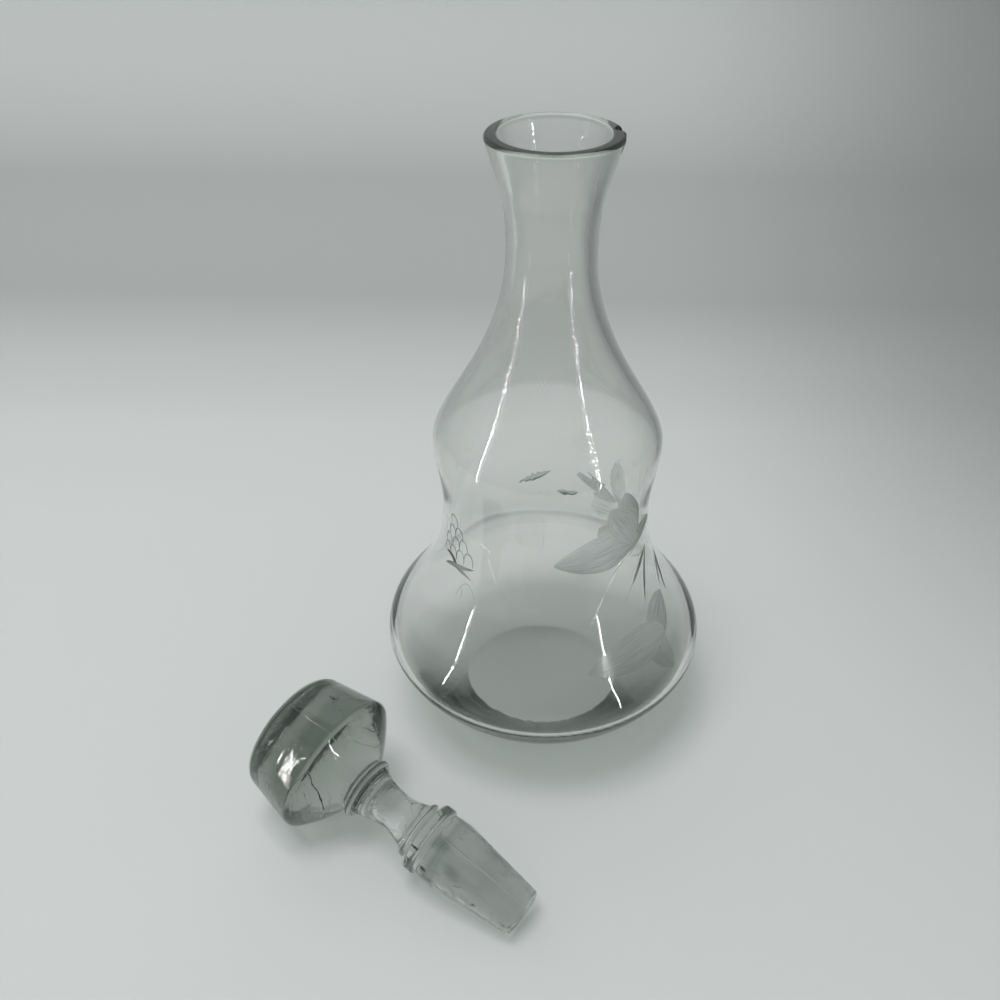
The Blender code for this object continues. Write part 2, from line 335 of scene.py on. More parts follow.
world = bpy.data.worlds.new("room")
scene.world = world
world.use_nodes = True
tree = world.node_tree
tree.nodes.clear()
way = add_node(tree, "ShaderNodeTexCoord")
split = add_node(tree, "ShaderNodeSeparateXYZ", links={"Vector": way.outputs["Generated"]})
level = add_node(
    tree,
    "ShaderNodeMapRange",
    {
        "From Min": SKY_FROM,
        "From Max": SKY_TO,
        "To Min": SKY_LOW,
        "To Max": SKY_HIGH,
        "interpolation_type": "SMOOTHSTEP",
    },
    {"Value": split.outputs["Z"]},
)
sky = add_node(
    tree,
    "ShaderNodeBackground",
    {"Color": hex_colour(SKY_COLOUR)},
    {"Strength": level.outputs["Result"]},
)
add_node(tree, "ShaderNodeOutputWorld", links={"Surface": sky.outputs["Background"]})

# The bottle: blown soda glass, one wall from a thick flat foot up through a wide bowl, a waist, an
# upper bulb and a long neck to a flared lip. The neck is ground inside, where the plug seats.
FLOOR_RADIUS, FLOOR_RISE = 33.5, 5.6
FOOT_RADIUS = 36.5
BOWL_RADIUS, BOWL_RISE = 66.8, 40.5
WAIST_RADIUS, WAIST_RISE = 41.0, 107.0
BULB_RADIUS, BULB_RISE = 44.0, 136.0
THROAT_RADIUS, THROAT_RISE = 15.82, 211.5
LIP_RADIUS, LIP_RISE, LIP_ROUND = 22.95, 250.0, 1.3
MOUTH_RADIUS = 18.15
SEAT_RADIUS, SEAT_RISE, SEAT_LEAN = 13.35, 230.0, 6.8
SEAT_END_RADIUS, SEAT_END_RISE = 11.92, 218.0
BORE_RADIUS = 12.22
BOWL_WALL, WAIST_WALL, BULB_WALL = 2.6, 2.4, 2.4
HEEL_LEAN, FLOOR_LEAN, LIP_LEAN = 35.2, 39.7, 16.5
SECTION_POINTS = 18
BOTTLE_STEPS = 180
WELD_DISTANCE = 0.005 * MM
CREASE = math.radians(30.0)
UP, OUT, DOWN = 0.0, 90.0, 180.0


def draw_section(name, corners, points):
    """Draws a half section as a curve. A corner is its radius and height, the way the line runs
    there in degrees from straight up, and how far its handles reach before and after it."""
    bpy.ops.curve.primitive_bezier_curve_add()
    line = bpy.context.object
    line.name = name
    line.data.resolution_u = points
    spline = line.data.splines[0]
    spline.bezier_points.add(len(corners) - 2)
    for bend, (radius, height, way, before, after) in zip(spline.bezier_points, corners):
        place = Vector((radius, 0.0, height)) * MM
        along = Vector((math.sin(math.radians(way)), 0.0, math.cos(math.radians(way)))) * MM
        bend.co = place
        bend.handle_left_type = "FREE" if before else "VECTOR"
        bend.handle_right_type = "FREE" if after else "VECTOR"
        bend.handle_left = place - along * before
        bend.handle_right = place + along * after
    bpy.ops.object.convert(target="MESH")
    return bpy.context.object


def turn_round(piece, steps):
    """Spins a half section round the upright axis into a closed solid."""
    bpy.ops.object.mode_set(mode="EDIT")
    bpy.ops.mesh.select_all(action="SELECT")
    bpy.ops.mesh.spin(steps=steps, angle=2 * math.pi, center=(0.0, 0.0, 0.0), axis=(0.0, 0.0, 1.0))
    bpy.ops.mesh.select_all(action="SELECT")
    bpy.ops.mesh.remove_doubles(threshold=WELD_DISTANCE)
    bpy.ops.mesh.normals_make_consistent(inside=False)
    bpy.ops.object.mode_set(mode="OBJECT")


inner_bulb_rise = BULB_RISE - BULB_WALL / 2
lip_edge = LIP_RADIUS - LIP_ROUND
lip_corner = math.radians(LIP_LEAN)
bottle_section = [
    (0.0, FLOOR_RISE, OUT, 0.0, 0.0),
    (FLOOR_RADIUS, FLOOR_RISE, FLOOR_LEAN, 0.0, 8.2),
    (BOWL_RADIUS - BOWL_WALL, BOWL_RISE, UP, 8.4, 16.6),
    (WAIST_RADIUS - WAIST_WALL, WAIST_RISE, UP, 46.5, 11.1),
    (BULB_RADIUS - BULB_WALL, inner_bulb_rise, UP, 8.3, 11.5),
    (BORE_RADIUS, THROAT_RISE, UP, 38.3, 0.0),
    (SEAT_END_RADIUS, SEAT_END_RISE, UP, 0.0, 0.0),
    (SEAT_RADIUS, SEAT_RISE, SEAT_LEAN, 0.0, 6.8),
    (MOUTH_RADIUS, LIP_RISE - LIP_ROUND, LIP_LEAN, 7.0, 0.7),
    (MOUTH_RADIUS + LIP_ROUND, LIP_RISE, OUT, 0.7, 0.0),
    (lip_edge, LIP_RISE, OUT, 0.0, 0.87),
    (
        lip_edge + LIP_ROUND * math.cos(lip_corner),
        LIP_RISE - LIP_ROUND - LIP_ROUND * math.sin(lip_corner),
        DOWN + LIP_LEAN,
        0.87,
        15.5,
    ),
    (THROAT_RADIUS, THROAT_RISE, DOWN, 16.7, 37.7),
    (BULB_RADIUS, BULB_RISE, DOWN, 11.3, 8.7),
    (WAIST_RADIUS, WAIST_RISE, DOWN, 11.6, 46.5),
    (BOWL_RADIUS, BOWL_RISE, DOWN, 16.6, 9.7),
    (FOOT_RADIUS, 0.0, DOWN + HEEL_LEAN, 8.9, 0.0),
    (0.0, 0.0, OUT, 0.0, 0.0),
]
bottle = draw_section("etched_decanter", bottle_section, SECTION_POINTS)
outline = [corner.co.copy() for corner in bottle.data.vertices]
turn_round(bottle, BOTTLE_STEPS)
bpy.ops.object.shade_smooth_by_angle(angle=CREASE)

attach(bottle, "decanter")
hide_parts("decanter_body")

# The glass of the bottle: clear soda glass with the faint grey green of old table glass. It shows
# as colour only where the wall is thick, and the surface is fire polished, smooth but for ripples.
GLASS_IOR = 1.52
EDGE_ON = 0.55


def glass(name, through, density, finish, shades):
    """Glass whose body takes up light, and which lets the lamps through to the table.

    What finish adds to the node tree gives its surface another roughness and relief. The shades
    are what it lets through of the lamps where it is met square on and where it is met edge on."""
    material, tree, output = new_material(name)
    shader = add_node(
        tree,
        "ShaderNodeBsdfPrincipled",
        {
            "Base Color": hex_colour("#ffffff"),
            "Roughness": 0.0,
            "IOR": GLASS_IOR,
            "Transmission Weight": 1.0,
        },
    )
    finish(tree, shader)
    slant = add_node(tree, "ShaderNodeLayerWeight", {"Blend": 0.5})
    share = add_node(tree, "ShaderNodeMapRange", {"From Min": EDGE_ON}, {"Value": slant.outputs["Facing"]})
    dim = add_node(
        tree,
        "ShaderNodeMix",
        {"data_type": "RGBA", MIX_A: hex_colour(shades[0]), MIX_B: hex_colour(shades[1])},
        {"Factor": share.outputs["Result"]},
    )
    gap = add_node(tree, "ShaderNodeBsdfTransparent", links={"Color": dim.outputs[MIXED]})
    path = add_node(tree, "ShaderNodeLightPath")
    mix = add_node(
        tree,
        "ShaderNodeMixShader",
        links={0: path.outputs["Is Shadow Ray"], 1: shader.outputs["BSDF"], 2: gap.outputs["BSDF"]},
    )
    tree.links.new(mix.outputs["Shader"], output.inputs["Surface"])
    body = add_node(tree, "ShaderNodeVolumeAbsorption", {"Color": hex_colour(through), "Density": density})
    tree.links.new(body.outputs["Volume"], output.inputs["Volume"])
    return material


RIPPLE_PITCH, RIPPLE_STARTS, RIPPLE_HEIGHT = 2.6 * MM, 90, 0.014 * MM
RIPPLE_PATCH, RIPPLE_CALM, RIPPLE_ROUGH, RIPPLE_CALM_SHARE = 9.0 * MM, 0.42, 0.62, 0.1
RIPPLE_SIDE, RIPPLE_FRONT = -0.5, -0.72
# How strong the ripples are at a height in millimetres.
RIPPLE_SHARES = (
    (0.0, 0.0),
    (24.0, 0.0),
    (30.0, 0.3),
    (44.0, 0.3),
    (56.0, 0.0),
    (134.0, 0.0),
    (146.0, 0.6),
    (190.0, 0.6),
    (208.0, 0.03),
)
# Painted shade, in part: the heel, and a little of the wall above, darkens where it is met edge on.
HEEL_TINT_AND_PAINTED_SHADE, HEEL_RISE, WALL_RISE, WALL_SHARE = "#33443a", 30.0 * MM, 45.0 * MM, 0.15
TINT_SLANT, FULL_TINT_SLANT = 0.28, 0.72
# The grey of the matt cuts is painted shade.
MATT_ROUGHNESS, MATT_PAINTED_SHADE = 0.45, "#7f8884"
STREAK_LENGTH, STREAK_WIDTH = 14.0, 0.5
STREAK_CLEAR, STREAK_MATT, STREAK_CLEAR_SHARE = 0.38, 0.62, 0.35
BOTTLE_THROUGH, BOTTLE_DENSITY = "#b5bdae", 20.0
BOTTLE_SHADES = ("#f6f8f7", "#bcc0be")


def bottle_finish(tree, shader):
    """Fine ripples that wind round the front of the blown wall, and the streaky matt ground of the
    cuts, greyed with painted shade. The thick heel is painted a darker green where it is met edge
    on, and the wall above it a little: partly for the longer path of light through thick glass,
    partly as painted shade."""
    place = add_node(tree, "ShaderNodeTexCoord")
    split = add_node(tree, "ShaderNodeSeparateXYZ", links={"Vector": place.outputs["Object"]})
    turn = add_node(
        tree, "ShaderNodeMath", {"operation": "ARCTAN2"}, {0: split.outputs["Y"], 1: split.outputs["X"]}
    )
    winding = add_node(
        tree, "ShaderNodeMath", {"operation": "MULTIPLY", 1: RIPPLE_STARTS}, {0: turn.outputs["Value"]}
    )
    phase = add_node(
        tree,
        "ShaderNodeMath",
        {"operation": "MULTIPLY_ADD", 1: 2 * math.pi / RIPPLE_PITCH},
        {0: split.outputs["Z"], 2: winding.outputs["Value"]},
    )
    wave = add_node(tree, "ShaderNodeMath", {"operation": "SINE"}, {0: phase.outputs["Value"]})
    patch = add_node(
        tree,
        "ShaderNodeTexNoise",
        {"Scale": 1 / RIPPLE_PATCH, "Detail": 2.0},
        {"Vector": place.outputs["Object"]},
    )
    strong = add_node(
        tree,
        "ShaderNodeMapRange",
        {"From Min": RIPPLE_CALM, "From Max": RIPPLE_ROUGH, "To Min": RIPPLE_CALM_SHARE},
        {"Value": patch.outputs[0]},
    )
    swell = add_node(
        tree,
        "ShaderNodeMath",
        {"operation": "MULTIPLY"},
        {0: wave.outputs["Value"], 1: strong.outputs["Result"]},
    )
    rise = add_node(tree, "ShaderNodeMapRange", {"From Max": LIP_RISE * MM}, {"Value": split.outputs["Z"]})
    fade = add_node(tree, "ShaderNodeValToRGB", links={"Fac": rise.outputs["Result"]})
    for rung, (height, strength) in enumerate(RIPPLE_SHARES):
        if rung > 1:
            fade.color_ramp.elements.new(1.0)
        fade.color_ramp.elements[rung].position = height / LIP_RISE
        fade.color_ramp.elements[rung].color = (strength, strength, strength, 1.0)
    facing = add_node(tree, "ShaderNodeMath", {"operation": "SINE"}, {0: turn.outputs["Value"]})
    front = add_node(
        tree,
        "ShaderNodeMapRange",
        {"From Min": RIPPLE_SIDE, "From Max": RIPPLE_FRONT},
        {"Value": facing.outputs["Value"]},
    )
    strength = add_node(
        tree,
        "ShaderNodeMath",
        {"operation": "MULTIPLY"},
        {0: fade.outputs["Color"], 1: front.outputs["Result"]},
    )
    bump = add_node(
        tree,
        "ShaderNodeBump",
        {"Distance": RIPPLE_HEIGHT},
        {"Height": swell.outputs["Value"], "Strength": strength.outputs["Value"]},
    )
    tree.links.new(bump.outputs["Normal"], shader.inputs["Normal"])

    ground = add_node(tree, "ShaderNodeAttribute", {"attribute_name": "ground"})
    roughness = add_node(
        tree, "ShaderNodeMapRange", {"To Max": MATT_ROUGHNESS}, {"Value": ground.outputs["Fac"]}
    )
    tree.links.new(roughness.outputs["Result"], shader.inputs["Roughness"])
    along = add_node(tree, "ShaderNodeUVMap", {"uv_map": "UVMap"})
    comb = add_node(
        tree,
        "ShaderNodeMapping",
        {"Scale": (1 / STREAK_LENGTH, 1 / STREAK_WIDTH, 1.0)},
        {"Vector": along.outputs["UV"]},
    )
    streak = add_node(
        tree, "ShaderNodeTexNoise", {"Scale": 1.0, "Detail": 2.0}, {"Vector": comb.outputs["Vector"]}
    )
    wear = add_node(
        tree,
        "ShaderNodeMapRange",
        {"From Min": STREAK_CLEAR, "From Max": STREAK_MATT, "To Min": STREAK_CLEAR_SHARE},
        {"Value": streak.outputs[0]},
    )
    # Painted shade greys the matt cuts, more where they are ground harder.
    greyness = add_node(
        tree,
        "ShaderNodeMath",
        {"operation": "MULTIPLY"},
        {0: wear.outputs["Result"], 1: ground.outputs["Fac"]},
    )
    grey = add_node(
        tree,
        "ShaderNodeMix",
        {"data_type": "RGBA", MIX_A: hex_colour("#ffffff"), MIX_B: hex_colour(MATT_PAINTED_SHADE)},
        {"Factor": greyness.outputs["Value"]},
    )
    # Painted shade: darker green where the low glass is met edge on, partly for its longer path through
    # thick glass.
    slant = add_node(tree, "ShaderNodeLayerWeight", {"Blend": 0.5})
    edge_on = add_node(
        tree,
        "ShaderNodeMapRange",
        {"From Min": TINT_SLANT, "From Max": FULL_TINT_SLANT, "interpolation_type": "SMOOTHSTEP"},
        {"Value": slant.outputs["Facing"]},
    )
    thick = add_node(
        tree,
        "ShaderNodeMapRange",
        {"From Min": HEEL_RISE, "From Max": WALL_RISE, "To Min": 1.0, "To Max": WALL_SHARE},
        {"Value": split.outputs["Z"]},
    )
    deep = add_node(
        tree,
        "ShaderNodeMath",
        {"operation": "MULTIPLY"},
        {0: edge_on.outputs["Result"], 1: thick.outputs["Result"]},
    )
    tint = add_node(
        tree,
        "ShaderNodeMix",
        {"data_type": "RGBA", MIX_B: hex_colour(HEEL_TINT_AND_PAINTED_SHADE)},
        {"Factor": deep.outputs["Value"], MIX_A: grey.outputs[MIXED]},
    )
    tree.links.new(tint.outputs[MIXED], shader.inputs["Base Color"])


blown_glass = glass("blown_soda_glass", BOTTLE_THROUGH, BOTTLE_DENSITY, bottle_finish, BOTTLE_SHADES)
bottle.data.materials.append(blown_glass)

# The vine: cut into the outside of the wall after blowing. The leaves are shallow and matt, the
# blades, the stems and the outlines of the grapes are narrow hollows cut with a wheel.
# A place on the wall is its turn in degrees from the front towards the right, and its height.
MATT_DEPTH, MATT_STEP = 0.06, 0.02
BLADE_DEPTH = 0.6
CUTTER_REACH = 0.6
CUT_START = 0.02
LEAST_HALF_WIDTH = 0.03
LINE_STEPS = 24
top_corner = max(range(len(outline)), key=lambda index: (outline[index].z, outline[index].x))
wall_line = outline[top_corner:]
wall_heights = np.array([corner.z for corner in reversed(wall_line)])
wall_radii = np.array([corner.x for corner in reversed(wall_line)])


def on_wall(turn, height, depth=0.0):
    """The point at a depth under the wall's outside, and the way that the wall faces there."""
    under, radius, over = np.interp((height - MM, height, height + MM), wall_heights, wall_radii)
    lean = (over - under) / (2 * MM)
    facing = Vector((math.sin(turn), -math.cos(turn), -lean)).normalized()
    return Vector((radius * math.sin(turn), -radius * math.cos(turn), height)) - facing * depth, facing


def smooth_line(corners, count):
    """Points evenly along a smooth curve through the corners."""
    bpy.ops.curve.primitive_bezier_curve_add()
    line = bpy.context.object
    line.data.resolution_u = LINE_STEPS
    spline = line.data.splines[0]
    spline.bezier_points.add(len(corners) - 2)
    for bend, (turn, height) in zip(spline.bezier_points, corners):
        bend.co = (turn, height, 0.0)
        bend.handle_left_type = bend.handle_right_type = "AUTO"
    bpy.ops.object.convert(target="MESH")
    points = np.array([corner.co[:2] for corner in bpy.context.object.data.vertices])
    bpy.ops.object.delete()
    reach = np.concatenate([[0.0], np.cumsum(np.hypot(*np.diff(points, axis=0).T))])
    steps = np.linspace(0.0, reach[-1], count)
    return [(np.interp(step, reach, points[:, 0]), np.interp(step, reach, points[:, 1])) for step in steps]


cutters = bpy.data.collections.new("wheels")
scene.collection.children.link(cutters)


def cut(
    name,
    corners,
    half_width,
    depth,
    hollow=True,
    fullest=0.5,
    blunt=0.5,
    rows=24,
    columns=6,
    grinding_and_shade=(0.5, 0.5),
):
    """Adds the solid that a wheel takes out of the wall as it runs along the corners.

    A hollow cut runs out at its edges and ends, and a flat one has one depth all over. Its width
    is the most at the fullest place, and the blunter its ends are, the faster they narrow. How
    hard it is ground goes from the first share at one edge to the second at the other, and the
    same share greys the cut with painted shade, so that one edge can look darker."""
    line = smooth_line(corners, rows + 1)
    bpy.ops.mesh.primitive_grid_add(x_subdivisions=rows, y_subdivisions=columns, size=2.0)
    cutter = bpy.context.object
    cutter.name = name
    grid = cutter.data
    along_uv = grid.uv_layers.active.data
    length = sum(
        (on_wall(math.radians(b[0]), b[1] * MM)[0] - on_wall(math.radians(a[0]), a[1] * MM)[0]).length
        for a, b in zip(line, line[1:])
    )
    for loop, uv in zip(grid.loops, along_uv):
        corner = grid.vertices[loop.vertex_index].co
        uv.uv = ((corner.x + 1) / 2 * length / MM, corner.y * half_width)
    ground = grid.attributes.new("ground", "FLOAT", "CORNER")
    for loop, share in zip(grid.loops, ground.data):
        share.value = np.interp(grid.vertices[loop.vertex_index].co.y, (-1, 1), grinding_and_shade)
    bend = math.log(0.5) / math.log(fullest)
    for corner in grid.vertices:
        share, across = (corner.co.x + 1) / 2, corner.co.y
        row = round(share * rows)
        turn, height = line[row]
        before, after = line[max(row - 1, 0)], line[min(row + 1, rows)]
        middle, facing = on_wall(math.radians(turn), height * MM)
        start = on_wall(math.radians(before[0]), before[1] * MM)[0]
        end = on_wall(math.radians(after[0]), after[1] * MM)[0]
        sideways = facing.cross(end - start).normalized()
        swelling = max(math.sin(math.pi * share**bend), 0.0) ** blunt
        place = middle + sideways * across * max(half_width * swelling, LEAST_HALF_WIDTH) * MM
        down = depth
        if hollow:
            down = depth * (1 - across * across) * swelling - CUT_START
        corner.co = on_wall(math.atan2(place.x, -place.y), place.z, down * MM)[0]
    bpy.ops.object.modifier_add(type="SOLIDIFY")
    thicken = cutter.modifiers[-1]
    thicken.thickness = CUTTER_REACH * MM
    thicken.offset = 1.0
    bpy.ops.object.modifier_apply(modifier=thicken.name)
    cutter.data.materials.append(blown_glass)
    for home in list(cutter.users_collection):
        home.objects.unlink(cutter)
    cutters.objects.link(cutter)


# A leaf is its name, its corners, its half width, where it is fullest, and how hard it is ground, and so
# greyed with painted shade, at either edge.
leaves = [
    ("waist_leaf_high", [(62, 101.5), (49, 107), (38, 113), (28, 119.5)], 8.8, 0.5, (0.7, 0.7)),
    ("waist_leaf_long", [(61, 104), (45, 106.5), (30, 106), (17, 105), (5, 103.8)], 9.6, 0.42, (0.5, 0.95)),
    ("waist_leaf_middle", [(58, 102), (50, 111), (41, 119), (33, 127)], 7.4, 0.5, (0.7, 0.7)),
    ("waist_leaf_tall", [(58, 101.5), (51.5, 111), (45, 121), (40.5, 133)], 6.8, 0.5, (0.85, 0.6)),
    ("waist_leaf_side", [(44, 100.5), (55, 103), (67, 105.3), (78, 104.5)], 4.4, 0.5, (1.0, 0.8)),
    ("belly_leaf_long", [(63, 60.5), (51, 61.8), (38, 61.5), (28, 60.8), (19, 60)], 7.6, 0.42, (0.4, 0.5)),
    ("belly_leaf_tall", [(49, 57), (57, 62), (65, 66.5), (75, 69.5)], 6.6, 0.55, (0.95, 0.75)),
    ("belly_leaf_low", [(51, 66), (54, 57), (55.8, 49)], 6.4, 0.5, (0.8, 0.5)),
    ("back_leaf_long", [(131, 84), (141, 84.5), (150, 87), (160, 91)], 4.6, 0.45, (0.8, 1.0)),
    ("back_leaf_tall", [(133, 82), (129.5, 91), (128.5, 99), (129.5, 107)], 5.4, 0.6, (0.7, 0.5)),
    ("back_leaf_low", [(132, 88), (140, 82), (146, 74), (150, 65)], 5.4, 0.6, (0.4, 0.4)),
    ("back_leaf_side", [(134, 90), (125, 86), (116, 80), (108, 73)], 4.6, 0.5, (0.5, 0.9)),
]
for index, (name, corners, half_width, fullest, grinding_and_shade) in enumerate(leaves):
    # Leaves that overlap are ground to unlike depths.
    depth = MATT_DEPTH + MATT_STEP * (index % 3)
    cut(name, corners, half_width, depth, False, fullest, blunt=0.75, rows=40, columns=14, grinding_and_shade=grinding_and_shade)

# A blade is its name, its corners and its half width.
blades = [
    (
        "cross_blade_steep",
        [(-66.7, 91.4), (-58.4, 91.9), (-53.3, 89.6), (-46.7, 88.9), (-40.3, 87.9)],
        1.0,
    ),
    ("cross_blade_flat", [(-65.1, 86), (-58.4, 88.5), (-53.3, 89.6), (-45.7, 91.6), (-39.1, 93.4)], 1.05),
    ("fan_blade_long", [(72, 94), (66, 84), (59, 73)], 0.85),
    ("fan_blade_left", [(70, 93), (61, 88.5), (52, 83)], 1.3),
    ("fan_blade_right", [(97, 80), (88, 73.5), (80, 66)], 1.2),
    ("fan_blade_short", [(94, 78), (84, 75), (77, 70.5)], 0.8),
    ("back_blade_high", [(-163, 84), (-173, 86.5), (-183, 90.5)], 2.0),
    ("back_blade_low", [(174, 77.5), (167, 76.5), (160, 78.5)], 1.5),
]
for name, corners, half_width in blades:
    cut(name, corners, half_width, BLADE_DEPTH, fullest=0.45, blunt=0.8, columns=8, grinding_and_shade=(1.0, 1.0))

GRAPE_WIDTH, GRAPE_LENGTH = 4.9, 5.4
GRAPE_WALL_RADIUS = 41.5
GRAPE_SHARES = ((-1, 1), (-0.95, 0.45), (-0.6, 0.1), (0, 0), (0.6, 0.1), (0.95, 0.45), (1, 1))
GRAPE_LINE_HALF_WIDTH, GRAPE_LINE_DEPTH = 0.26, 0.2
STEM_HALF_WIDTH, STEM_DEPTH = 0.2, 0.12
grapes = [
    (-57.5, 112.3),
    (-59.9, 106.2), (-53.0, 107.5),
    (-64.1, 100.8), (-56.0, 101.9), (-49.0, 103.4),
    (-65.2, 95.8), (-58.4, 96.8), (-51.3, 97.6), (-44.4, 98.9),
]
side = math.degrees(GRAPE_WIDTH / 2 / GRAPE_WALL_RADIUS)
for turn, height in grapes:
    corners = [(turn + aside * side, height - down * GRAPE_LENGTH) for aside, down in GRAPE_SHARES]
    name = f"grape_{height:.0f}_{-turn:.0f}"
    cut(name, corners, GRAPE_LINE_HALF_WIDTH, GRAPE_LINE_DEPTH, blunt=0.25, rows=30, columns=4)

stems = [
    ("tendril_long", [(-49.6, 77.5), (-48.5, 81), (-44, 85.5), (-40, 84.5), (-36.6, 81)]),
    ("tendril_short", [(-47.5, 83), (-45.5, 80.5), (-46.5, 77.5)]),
    ("leaf_edge_low", [(38.5, 93.5), (43, 95.3), (48.5, 97.2)]),
    ("leaf_edge_high", [(50.5, 97.6), (55, 98.4), (60, 101.2)]),
    ("vine_loop", [(72, 94), (65, 93), (57, 95), (52, 97.5)]),
    ("fan_hair", [(71, 94), (58, 87), (45, 79)]),
]
for name, corners in stems:
    cut(name, corners, STEM_HALF_WIDTH, STEM_DEPTH, blunt=0.3, rows=30, columns=4)

# Chips round the mouth: scallops that old knocks left in the lip, and one long flake below it.
# A row is the name, the turn, the radius and height of the middle, and how deep, wide and tall.
# How hard the broken faces are ground, which also greys them with painted shade.
CHIP_GRINDING_AND_SHADE = 0.35
BREAK_COARSE, BREAK_FINE = 0.10, 0.06
knocks = [
    ("chip_right", 103, 22.9, 250.4, (3.0, 3.6, 2.2)),
    ("chip_right_front", 88, 23.3, 249.6, (1.3, 2.2, 1.8)),
    ("flake_right", 74, 23.1, 245.4, (1.2, 1.5, 4.2)),
    ("chip_back", 132, 22.6, 250.4, (1.5, 1.8, 1.2)),
    ("chip_left", -143, 22.6, 250.4, (1.3, 1.7, 1.2)),
    ("chip_left_side", -97, 23.2, 249.6, (1.0, 1.6, 1.2)),
]
for name, turn, radius, height, (deep, wide, tall) in knocks:
    bpy.ops.mesh.primitive_ico_sphere_add(subdivisions=3, radius=MM)
    knock = bpy.context.object
    knock.name = name
    knock.data.materials.append(blown_glass)
    ground = knock.data.attributes.new("ground", "FLOAT", "CORNER")
    for share in ground.data:
        share.value = CHIP_GRINDING_AND_SHADE
    for corner in knock.data.vertices:
        x, y, z = corner.co / MM
        # Glass breaks unevenly, here in two waves that cross.
        rough = 1 + BREAK_COARSE * math.sin(3.1 * y + 1.7 * z + turn)
        rough += BREAK_FINE * math.sin(5.3 * x - 4.1 * y)
        out = (radius + deep * rough * x) * MM
        side = wide * rough * y * MM
        angle = math.radians(turn)
        corner.co = (
            out * math.sin(angle) + side * math.cos(angle),
            -out * math.cos(angle) + side * math.sin(angle),
            (height + tall * rough * z) * MM,
        )
    for home in list(knock.users_collection):
        home.objects.unlink(knock)
    cutters.objects.link(knock)

bpy.ops.object.select_all(action="DESELECT")
bottle.select_set(True)
bpy.context.view_layer.objects.active = bottle
bottle.data.attributes.new("ground", "FLOAT", "CORNER")
for cutter in list(cutters.objects):
    bpy.ops.object.modifier_add(type="BOOLEAN")
    engrave = bottle.modifiers[-1]
    engrave.operation = "DIFFERENCE"
    engrave.solver = "MANIFOLD"
    engrave.object = cutter
    bpy.ops.object.modifier_apply(modifier=engrave.name)
    bpy.data.objects.remove(cutter)
bpy.data.collections.remove(cutters)

# The stopper: one solid piece of pressed glass, a plug ground to a taper, a collar with a thin bead
# over it, a drawn-in stem, a ring and a heavy round head. It lies on the edge of its head and on
# its tip, beside the bowl, with its tip towards the front.
TIP_RADIUS, TIP_ROUND, TIP_DEPTH = 9.2, 1.2, 41.5
PLUG_RADIUS, PLUG_DEPTH, PLUG_TOP_RADIUS = 13.2, 8.0, 12.7
COLLAR_RADIUS, COLLAR_ROUND, COLLAR_RISE = 13.8, 0.9, 4.4
COVE_RADIUS, COVE_RISE = 10.25, 7.0
BEAD_RADIUS, BEAD_RISE = 11.3, 1.6
STEM_RADIUS, STEM_RISE, STEM_FOOT_LEAN, STEM_TOP_LEAN = 7.5, 19.64, -28.6, 31.6
RING_ROOT, RING_RADIUS, RING_FOOT, RING_RISE = 10.6, 12.3, 32.6, 3.0
GROOVE_RADIUS, GROOVE_RISE, GROOVE_LEAN = 11.0, 36.8, 67.4
HEAD_RADIUS, HEAD_ROUND, HEAD_FOOT, HEAD_SIDE = 28.6, 3.2, 50.6, 19.2
HEAD_LEAN, HEAD_FOOT_TURN, CROWN_TURN = 10.04, -48.0, 78.7
CROWN_RADIUS, CROWN_ROUND, CROWN_TOP = 25.2, 5.2, 76.9
STOPPER_HEADING = -33.2
STOPPER_GAP, STOPPER_SETBACK = 10.0, 52.0
STOPPER_POINTS = 8
STOPPER_STEPS = 160
IN = -90.0


def on_arc(radius, height, size, turn):
    """The place on a rounding at a turn up from straight out, and the way the line runs there."""
    angle = math.radians(turn)
    return radius + size * math.cos(angle), height + size * math.sin(angle), -turn


